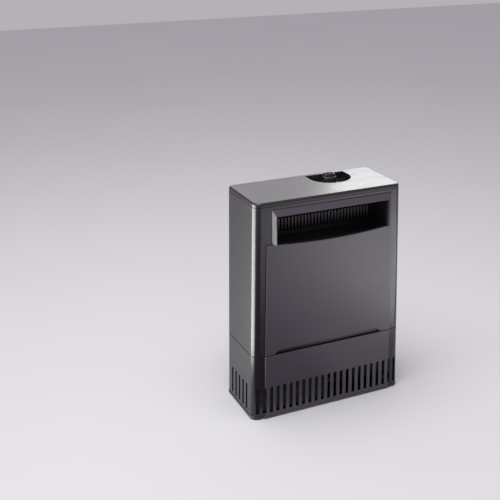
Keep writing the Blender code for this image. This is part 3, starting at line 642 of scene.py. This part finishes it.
def strainer_wall():
    stops, half, at = plan_outline()
    right = outline_columns(stops, half)
    columns = [-distance for distance in reversed(right[1:])] + right[:-1]
    rows = [BASE_LOW.z, SLOT_LOW, SLOT_HIGH, (SLOT_HIGH + BASE_HIGH.z) / 2, BASE_HIGH.z]
    slots = slot_edges()
    form = bmesh.new()
    grid = []
    for height in rows:
        row = []
        for distance in columns:
            place, out = at(distance)
            point = place + out * plateau_rise(distance)
            row.append(form.verts.new((point.x * half_width(height) / BASE_HIGH.x, point.y, height)))
        grid.append(row)
    count = len(columns)
    for level in range(len(rows) - 1):
        for index in range(count):
            after = (index + 1) % count
            middle = (columns[index] + columns[after]) / 2 if after else half
            open_slot = level == 1 and any(low < abs(middle) < high for low, high in slots)
            if not open_slot:
                form.faces.new((grid[level][index], grid[level][after],
                                grid[level + 1][after], grid[level + 1][index]))
    bmesh.ops.recalc_face_normals(form, faces=form.faces)
    made = object_from("strainer_shell", form)
    solidify = made.modifiers.new("wall", "SOLIDIFY")
    solidify.thickness = WALL
    solidify.offset = -1
    solidify.use_even_offset = True
    return bake(made)


def make_deck_ledges():
    """The two ledges inside the base that the chamber's floor rests on."""
    high_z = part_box("chamber_floor")[0].z - GAP
    for side, word in ((-1, "left"), (1, "right")):
        ends = sorted((side * LEDGE_INNER_X, side * (half_width(high_z) - WALL / 2)))
        ledge = block(f"deck_ledge_{word}", (ends[0], LEDGE_Y[0], LEDGE_LOW_Z), (ends[1], LEDGE_Y[1], high_z))
        soften(ledge, 0.0003)
        fit(ledge, "base", "shell_plastic", LOOKS["shell_plastic"], "base_strainer")


def make_strainer():
    shell = strainer_wall()
    soften(shell, 0.00035, merge_flat=False)
    fit(shell, "base", "shell_plastic", LOOKS["shell_plastic"], "base_strainer")


def plateau(name, low, high, back_y):
    """The raised front between two heights, its sides leaning in with the draft."""
    low_end, high_end = [((-half, half), (low.y, back_y)) for half in map(plateau_half, (low.z, high.z))]
    return wedge(name, 2, (low.z, high.z), low_end, high_end)


def make_bottom_cover():
    plate = object_from("underside_plate", outer_form(COVER_LOW.z, COVER_HIGH.z, BASE_HIGH.x - COVER_HIGH.x))
    join(plate, plateau("plate_front", COVER_LOW, COVER_HIGH, 0.0))
    soften(plate, 0.0005)
    fit(plate, "base", "shell_plastic", LOOKS["shell_plastic"], "bottom_cover")


# ---- Case ----
def lip_disc(name, shrink=0.0):
    centre = (0.0, LIP_MID_Z + LIP_RADIUS)
    return rod(name, LIP_RADIUS - shrink, (CUTTER_Y[0], -0.025), centre, "Y", LIP_STEPS)


def scoop(name):
    scoop_top, low_x, top_x, depth_y = 0.0723, (-0.0595, 0.0595), (-0.055, 0.053), -0.0318
    return wedge(name, 2, (SEAM_Z - 0.001, scoop_top), (low_x, (-0.038, depth_y)),
                 (top_x, (-0.038, PANEL_LOW.y - 0.0001)))


def cup_places():
    found = []
    for number in range(1, 5):
        low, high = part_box(f"suction_cup_{number}")
        found.append(((low.x + high.x) / 2, (low.z + high.z) / 2, high.y))
    return found


def make_case():
    case = outer_sleeve("case_shell", CASE_LOW.z, CASE_HIGH.z, WALL)
    window = block("window", (WINDOW_X[0], -0.040, HOOD_FOOT_Z), (WINDOW_X[1], CUTTER_Y[1], WINDOW_TOP))
    combine(window, "INTERSECT", lip_disc("window_lip"))
    notch_low = (GROMMET_LOW.x - GAP, BACK_Y - 0.006, GROMMET_LOW.z - GAP)
    notch = block("notch", notch_low, (GROMMET_HIGH.x + GAP, BACK_Y + 0.002, CASE_HIGH.z + 0.002))
    holes = [rod(f"cup_hole_{x}_{z}", CUP_HOLE_R, (0.025, 0.040), (x, z), "Y") for x, z, _ in cup_places()]
    cut(case, window, scoop("case_scoop"), notch, *holes)
    soften(case, 0.00035)
    fit(case, "case", "shell_plastic", LOOKS["shell_plastic"], "main_case")


def make_front_panel():
    panel = plateau("front_plate", PANEL_LOW, Vector((0, 0, PANEL_BLANK_TOP)), PANEL_HIGH.y)
    cut(panel, lip_disc("panel_lip"), scoop("panel_scoop"))
    soften(panel, 0.0004)
    fit(panel, "case", "shell_plastic", LOOKS["shell_plastic"], "front_panel")


def make_hood():
    front_end = (HOOD_FRONT_X, (HOOD_FOOT_Z, HOOD_FRONT_TOP))
    back_end = ((HOOD_LOW.x, HOOD_HIGH.x), (HOOD_FOOT_Z, HOOD_HIGH.z))
    hood = wedge("spout_hood", 1, (HOOD_LOW.y, HOOD_HIGH.y), front_end, back_end)
    cut(hood, block("hood_opening", (HOOD_OPENING_X[0], CUTTER_Y[0], 0.160),
                    (HOOD_OPENING_X[1], CUTTER_Y[1], HOOD_OPENING_TOP)))
    combine(hood, "INTERSECT", lip_disc("hood_lip", GAP))
    soften(hood, 0.00018)
    fit(hood, "case", "shell_plastic", LOOKS["shell_plastic"], "outlet_hood")


def make_tray():
    wall = TRAY_WALL
    tray = block("waterfall_tray", TRAY_LOW, TRAY_HIGH)
    cut(tray, block("tray_hollow", (TRAY_LOW.x + wall, TRAY_LOW.y - wall, TRAY_LOW.z + wall),
                    (TRAY_HIGH.x - wall, TRAY_HIGH.y + wall, TRAY_HIGH.z + wall)))
    soften(tray, 0.0003)
    fit(tray, "case", "inner_plastic", LOOKS["inner_plastic"], "spill_tray")


def make_comb():
    comb = block("overflow_rail", COMB_LOW, (COMB_HIGH.x, COMB_HIGH.y, COMB_SILL_Z))
    form = bmesh.new()
    middle = (COMB_LOW + COMB_HIGH) / 2
    foot = COMB_SILL_Z - 0.001
    size = Matrix.Diagonal((TOOTH_WIDTH, COMB_HIGH.y - COMB_LOW.y - 0.0006, COMB_HIGH.z - foot, 1))
    for index in range(TOOTH_COUNT):
        x = middle.x + (index - (TOOTH_COUNT - 1) / 2) * TOOTH_PITCH
        spot = Matrix.Translation((x, middle.y, (foot + COMB_HIGH.z) / 2))
        bmesh.ops.create_cube(form, size=1.0, matrix=spot @ size)
    tops = edges_along(form, 1, lambda point: point.z > COMB_HIGH.z - GAP)
    round_edges(form, tops, TOOTH_WIDTH * 0.45, 4)
    join(comb, object_from("comb_teeth", form))
    soften(comb, 0.0002)
    fit(comb, "case", "shell_plastic", COMB_LOOK, "overflow_comb")


def make_grommet():
    grommet = block("grommet_body", GROMMET_LOW, GROMMET_HIGH, 1, 0.0015)
    centre = ((GROMMET_LOW.x + GROMMET_HIGH.x) / 2, CABLE_HOLE_Z)
    cut(grommet, rod("cable_hole", CABLE_HOLE_R, (0.028, 0.038), centre, "Y"))
    soften(grommet, 0.0003)
    fit(grommet, "case", "black_rubber", LOOKS["black_rubber"], "cable_grommet")


def make_cups():
    inner = BACK_Y - WALL
    for number, (x, z, rim) in enumerate(cup_places(), start=1):
        profile = [(0, rim - 0.0045), (0.0040, rim - 0.0042), (0.0080, rim - 0.0030), (0.0112, rim - 0.0016),
                   (0.0136, rim - 0.0001), (0.0146, rim), (0.0150, rim - 0.0003), (0.0149, rim - 0.0008),
                   (0.0128, rim - 0.0024), (0.0100, rim - 0.0042), (0.0078, rim - 0.0054),
                   (0.0058, rim - 0.0060), (0.0052, rim - 0.0066), (0.0052, BACK_Y + 0.0006),
                   (0.0050, BACK_Y + GAP), (0.0027, BACK_Y + GAP), (0.0027, inner - GAP),
                   (0.0042, inner - GAP), (0.0043, inner - 0.0008), (0.0036, inner - 0.0022),
                   (0, inner - 0.0022)]
        cup = bake(turned(f"sucker_{number}", profile, (x, z), "Y", 72))
        cup.data.shade_smooth()
        cup.data.set_sharp_from_angle(angle=math.radians(50))
        fit(cup, "case", "cup_rubber", LOOKS["cup_rubber"], f"suction_cup_{number}")


# ---- Lid ----
def pocket_outline(name, radius, low_z, high_z, back):
    front = POCKET_Y - radius
    form = cube_form((2 * radius, back - front, high_z - low_z))
    round_edges(form, edges_along(form, 2, lambda middle: middle.y < 0), radius * 0.98, 32)
    return object_from(name, form, (POCKET_X, (front + back) / 2, (low_z + high_z) / 2))


def make_lid():
    top = LID_HIGH.z
    lid = object_from("top_lid", outer_form(LID_PLATE_Z, top, 0.0, LID_ROUND))
    skirt = outer_sleeve("lid_skirt", LID_SKIRT_Z, LID_PLATE_Z + 0.001, SKIRT_WALL, SKIRT_INSET)
    under = POCKET_FLOOR - POCKET_WALL
    tub = pocket_outline("pocket_tub", POCKET_RADIUS + POCKET_WALL, under, LID_PLATE_Z + 0.001, TUB_BACK)
    join(lid, skirt, tub)
    pocket = pocket_outline("pocket", POCKET_RADIUS, POCKET_FLOOR, top + 0.002, POCKET_BACK)
    stem = rod("stem_hole", STEM_R + 0.0004, (under - 0.001, POCKET_FLOOR + 0.001), (FLOW_X, FLOW_Y))
    notch_low = (GROMMET_LOW.x - 0.0007, BACK_Y - 0.0024, LID_PLATE_Z - 0.002)
    notch = block("lid_notch", notch_low, (GROMMET_HIGH.x + 0.0007, BACK_Y + 0.004, top + 0.002))
    cut(lid, pocket, stem, notch)
    soften(lid, 0.0006, 4)
    fit(lid, "lid", "shell_plastic", LOOKS["shell_plastic"], "lid")


def make_knob():
    foot = POCKET_FLOOR + 0.0004
    drum_top = DRUM_TOP
    drum, skirt = DRUM_R, KNOB_HIGH.x - FLOW_X
    profile = [(0, drum_top), (drum - 0.0010, drum_top), (drum - 0.0004, drum_top - 0.0003),
               (drum, drum_top - 0.0010), (drum, foot + 0.0026), (drum + 0.0006, foot + 0.0018),
               (skirt - 0.0006, foot + 0.0011), (skirt, foot + 0.0006), (skirt, foot), (STEM_R, foot),
               (STEM_R, KNOB_LOW.z), (0, KNOB_LOW.z)]
    knob = bake(turned("flow_dial", profile, (FLOW_X, FLOW_Y)))
    half_x, half_y, draft = 0.0050, 0.0034, 0.0003
    grip = wedge("dial_grip", 2, (drum_top - 0.001, KNOB_HIGH.z), ((-half_x, half_x), (-half_y, half_y)),
                 ((draft - half_x, half_x - draft), (draft - half_y, half_y - draft)))
    rim = 0.0009
    channel = block("grip_channel", (-half_x - 0.002, rim - half_y, KNOB_HIGH.z - 0.0009),
                    (half_x - rim - draft, half_y - rim, KNOB_HIGH.z + 0.001))
    cut(grip, channel)
    turn = Matrix.Translation((FLOW_X, FLOW_Y, 0)) @ Matrix.Rotation(math.radians(-4), 4, "Z")
    grip.matrix_world = turn
    bpy.context.view_layer.update()
    join(knob, grip)
    cut(knob, rod("rod_socket", 0.0025, (KNOB_LOW.z - 0.001, 0.2113), (FLOW_X, FLOW_Y)))
    soften(knob, 0.0002, 3, 40)
    fit(knob, "knob", "knob_plastic", LOOKS["knob_plastic"], "flow_knob")


# ---- Filter media ----
FOAM_SPACING = 0.0011
SLEEVE_HOLE_R = 0.0063


def foam_block(name, node_name, spacing, lump, pore, sleeve=None):
    """A cut foam block: its CAD box divided finely, then pushed in by lumps and open pores."""
    low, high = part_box(node_name)
    form = cube_form(high - low)
    round_edges(form, edges_along(form, 2), 0.004, 5)
    soft = [edge for edge in form.edges if edge.calc_face_angle(0) > math.radians(60)]
    round_edges(form, soft, 0.0016, 2)
    made = object_from(name, form, (low + high) / 2)
    bake(made)
    if sleeve:
        cut(made, sleeve)
    remesh = made.modifiers.new("divide", "REMESH")
    remesh.mode = "VOXEL"
    remesh.voxel_size = spacing
    bake(made)
    made.data.update()
    for vert in made.data.vertices:
        place = vert.co
        slow = noise.noise(place * 60.0)
        fine = noise.noise(place * 420.0)
        cells = noise.voronoi(place * 330.0)[0][0]
        depth = lump * (slow - 0.6) + pore * (0.6 * fine - 0.9 * max(0.0, 0.35 - cells))
        vert.co = place + vert.normal * min(0.0, depth)
    made.data.shade_smooth()
    return made


def sleeve_hole(name, node_name):
    low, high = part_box(node_name)
    return rod(name, SLEEVE_HOLE_R, (low.z - 0.002, high.z + 0.002), (FLOW_X, FLOW_Y))


def make_media():
    coarse = foam_block("intake_sponge", "coarse_foam", FOAM_SPACING, 0.0005, 0.0009)
    fit(coarse, "base", "coarse_foam", LOOKS["coarse_foam"], "coarse_foam")
    fine = foam_block("floss_pad", "fine_foam", FOAM_SPACING, 0.0007, 0.0004,
                      sleeve_hole("floss_hole", "fine_foam"))
    fit(fine, "base", "fine_foam", LOOKS["fine_foam"], "fine_foam")
    carbon = foam_block("carbon_sponge", "carbon_pad", FOAM_SPACING, 0.0004, 0.0008,
                        sleeve_hole("carbon_hole", "carbon_pad"))
    fit(carbon, "base", "carbon_pad", LOOKS["carbon_pad"], "carbon_pad")


# ---- Inner CAD nodes that keep their shape ----
def dress_inner_nodes():
    slots = {entry["node"]: entry["material_slot"] for entry in frame["record"]["subparts"]}
    for name, piece in frame["nodes"].items():
        if piece.hide_render:
            continue
        look = LOOKS[slots[name]]
        piece.data.materials.clear()
        piece.data.materials.append(look)


# ---- Studio ----
# Name, place, aim, size and power of the softboxes that only reflections see.
SOFTBOXES = (
    ("lid_glow", (0.45, 0.45, 0.47), (0.06, 0.0, 0.22), (0.36, 0.22), 0.9),
    ("lid_fill", (0.30, 0.46, 0.47), (0.04, 0.0, 0.22), (0.60, 0.24), 0.50),
    ("panel_glow", (0.32, -0.33, 0.012), (0.32, -0.33, 1.0), (0.36, 0.40), 1.7),
    ("corner_strip", (-0.20, 0.01, 0.125), (-0.08, -0.03, 0.125), (0.16, 0.25), 1.35),
)
FLAG_SIZE = (0.48, 0.50, 1, 1)
FLAG_PLACE = (-0.21, -0.30, 0.002)


def area_light(name, place, aim, size, power, glossy_only=False):
    lamp = bpy.data.lights.new(name, "AREA")
    lamp.shape = "RECTANGLE"
    lamp.size, lamp.size_y = size
    lamp.energy = power
    made = bpy.data.objects.new(name, lamp)
    bpy.context.scene.collection.objects.link(made)
    made.location = place
    made.rotation_mode = "QUATERNION"
    made.rotation_quaternion = (Vector(aim) - Vector(place)).to_track_quat("-Z", "Y")
    made.visible_camera = False
    made.visible_diffuse = not glossy_only
    return made


def make_studio():
    form = bmesh.new()
    bmesh.ops.create_grid(form, x_segments=8, y_segments=8, size=3.0)
    floor = object_from("floor", form, (0, 0, CAD_BOX[0].z - 0.0004))
    look, tree, shader, place = new_look("floor_look")
    tone = noise_at(tree, place, 3.0, 3.0)
    tree.links.new(blended(tree, tone, (0.78, 0.78, 0.79), (0.74, 0.74, 0.755)), shader.inputs["Base Color"])
    shader.inputs["Roughness"].default_value = 0.9
    shader.inputs["Specular IOR Level"].default_value = 0.0
    floor.data.materials.append(look)
    world = bpy.data.worlds.new("studio")
    bpy.context.scene.world = world
    world.use_nodes = True
    backdrop = world.node_tree.nodes["Background"]
    backdrop.inputs["Color"].default_value = (0.85, 0.80, 0.87, 1.0)
    backdrop.inputs["Strength"].default_value = 0.55
    area_light("overhead", (-0.25, -0.15, 1.1), (0, 0, 0.1), (0.9, 0.9), 9.0)
    for name, place, aim, size, power in SOFTBOXES:
        area_light(name, place, aim, size, power, glossy_only=True)


def make_flag():
    """A black card on the floor that only reflections see; it keeps the front's left edge dark."""
    form = bmesh.new()
    bmesh.ops.create_grid(form, x_segments=1, y_segments=1, size=0.5, matrix=Matrix.Diagonal(FLAG_SIZE))
    flag = object_from("dark_flag", form, FLAG_PLACE)
    look, tree, shader, place = new_look("flag_look")
    cloth = blended(tree, noise_at(tree, place, 9.0), (0.004, 0.004, 0.004), (0.006, 0.006, 0.006))
    tree.links.new(cloth, shader.inputs["Base Color"])
    shader.inputs["Roughness"].default_value = 1.0
    shader.inputs["Specular IOR Level"].default_value = 0.0
    flag.data.materials.append(look)
    flag.visible_camera = False
    flag.visible_diffuse = False
    flag.visible_shadow = False


def make_camera():
    """The view that the product is usually shown from: from its left front, a little above."""
    camera = bpy.data.cameras.new("camera")
    camera.lens = 65.31
    camera.sensor_width = 36.0
    camera.shift_x = -0.0905
    camera.shift_y = -0.0427
    yaw, pitch = 0.449, 0.346
    made = bpy.data.objects.new("camera", camera)
    bpy.context.scene.collection.objects.link(made)
    made.location = (-0.37700, -0.73958, 0.47414)
    forward = Vector((math.sin(yaw) * math.cos(pitch), math.cos(yaw) * math.cos(pitch), -math.sin(pitch)))
    made.rotation_mode = "QUATERNION"
    made.rotation_quaternion = forward.to_track_quat("-Z", "Y")
    bpy.context.scene.camera = made
    bpy.context.scene.view_settings.view_transform = "Standard"


make_camera()
make_studio()
make_flag()
make_strainer()
make_deck_ledges()
make_bottom_cover()
make_case()
make_front_panel()
make_hood()
make_tray()
make_comb()
make_grommet()
make_cups()
make_lid()
make_knob()
make_media()
dress_inner_nodes()
